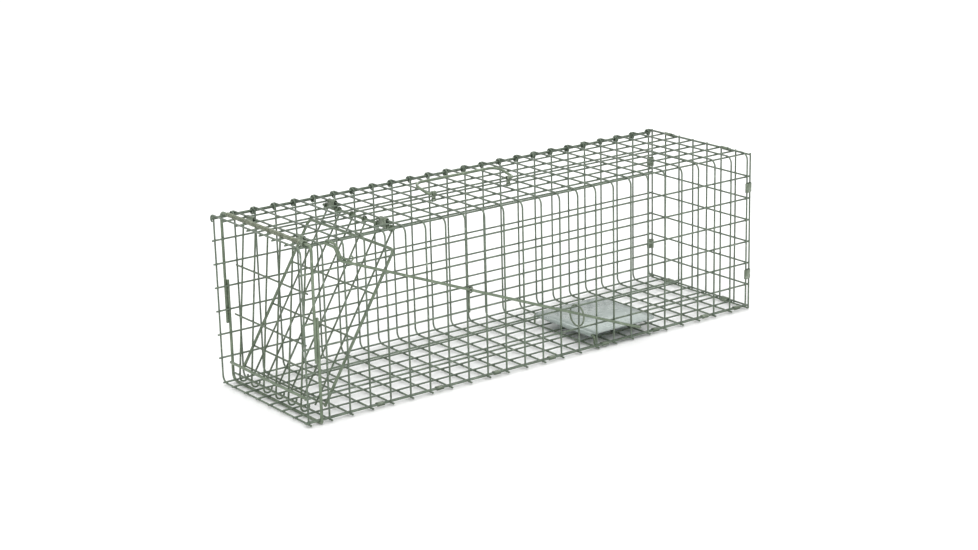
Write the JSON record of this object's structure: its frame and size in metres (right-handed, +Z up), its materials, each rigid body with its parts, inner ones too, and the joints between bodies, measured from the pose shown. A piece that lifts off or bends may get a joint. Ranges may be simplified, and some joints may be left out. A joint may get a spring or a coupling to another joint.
{
  "type": "live catch trap",
  "caption": "Welded wire mesh cage trap with a sloping drop door, hanging front flap, treadle plate, trigger rod and folding carry handle.",
  "frame": {"origin": "bottom centre of the bounding box, on the ground", "axes": "+X to the closed rear end, along the length; +Y to the side away from the trigger rod; +Z up"},
  "size_m": [0.6204, 0.1914, 0.2031],
  "materials": {
    "mesh_wire": "satin green paint over galvanised mesh wire",
    "door_mesh_wire": "satin green paint, slightly darker, on the door and flap wires",
    "frame_wire": "satin mid green paint on the thick formed wire",
    "clip_wire": "pale green paint, worn at the crowns of the clips",
    "treadle_sheet": "smooth grey green sheet with a soft gloss"
  },
  "bodies": {
    "cage": {"near_wall_uprights": "mesh_wire", "near_wall_long_wires": "mesh_wire", "near_top_bends": "mesh_wire", "roof_cross_wires": "mesh_wire", "roof_long_wires": "mesh_wire", "roof_seam_wraps": "mesh_wire", "far_wall_uprights": "mesh_wire", "far_wall_long_wires": "mesh_wire", "far_bottom_bends": "mesh_wire", "floor_cross_wires": "mesh_wire", "floor_long_wires": "mesh_wire", "floor_seam_clips": "clip_wire", "rear_panel_uprights": "mesh_wire", "rear_panel_bars": "mesh_wire", "rear_panel_clips": "clip_wire", "front_hoop_upper": "frame_wire", "front_hoop_lower": "frame_wire", "door_hinge_rod": "frame_wire", "door_hinge_clips": "clip_wire", "flap_hinge_rod": "frame_wire", "flap_hinge_clips": "clip_wire", "treadle_hinge_wire": "frame_wire", "keeper_ring": "clip_wire", "rod_guide": "clip_wire", "catch_coil": "clip_wire", "handle_clips": "clip_wire"},
    "drop_door": {"door_slope_wires": "door_mesh_wire", "door_cross_wires": "door_mesh_wire", "lock_bail": "frame_wire"},
    "front_flap": {"flap_wires": "door_mesh_wire", "flap_cross_wires": "door_mesh_wire", "flap_bar": "frame_wire"},
    "treadle": {"treadle_plate": "treadle_sheet"},
    "trigger": {"trigger_rod": "frame_wire"},
    "handle": {"carry_handle": "frame_wire"}
  },
  "joints": [
    {"name": "door_swing", "type": "hinge", "parent": "cage", "child": "drop_door", "pos_m": [-0.18099, 0.00532, 0.18262], "axis": [0, 1, 0], "range_deg": [0, 50]},
    {"name": "flap_swing", "type": "hinge", "parent": "cage", "child": "front_flap", "pos_m": [-0.28258, 0.00532, 0.18262], "axis": [0, 1, 0], "range_deg": [0, 77.6]},
    {"name": "treadle_tilt", "type": "hinge", "parent": "cage", "child": "treadle", "pos_m": [0.07541, -0.02167, 0.01402], "axis": [0, 1, 0], "range_deg": [-1.5, 2.5]},
    {"name": "trigger_slide", "type": "slide", "parent": "cage", "child": "trigger", "axis": [0.9317, 0, -0.3633], "range_m": [-0.0051, 0.0085]},
    {"name": "handle_fold", "type": "hinge", "parent": "cage", "child": "handle", "pos_m": [-0.04009, -0.00698, 0.19527], "axis": [1, 0, 0], "range_deg": [-10, 148]}
  ],
  "couplings": [
    {"joint": "flap_swing", "follows": "door_swing", "ratio": 1.55},
    {"joint": "trigger_slide", "follows": "treadle_tilt", "m_per_rad": 0.1935}
  ]
}
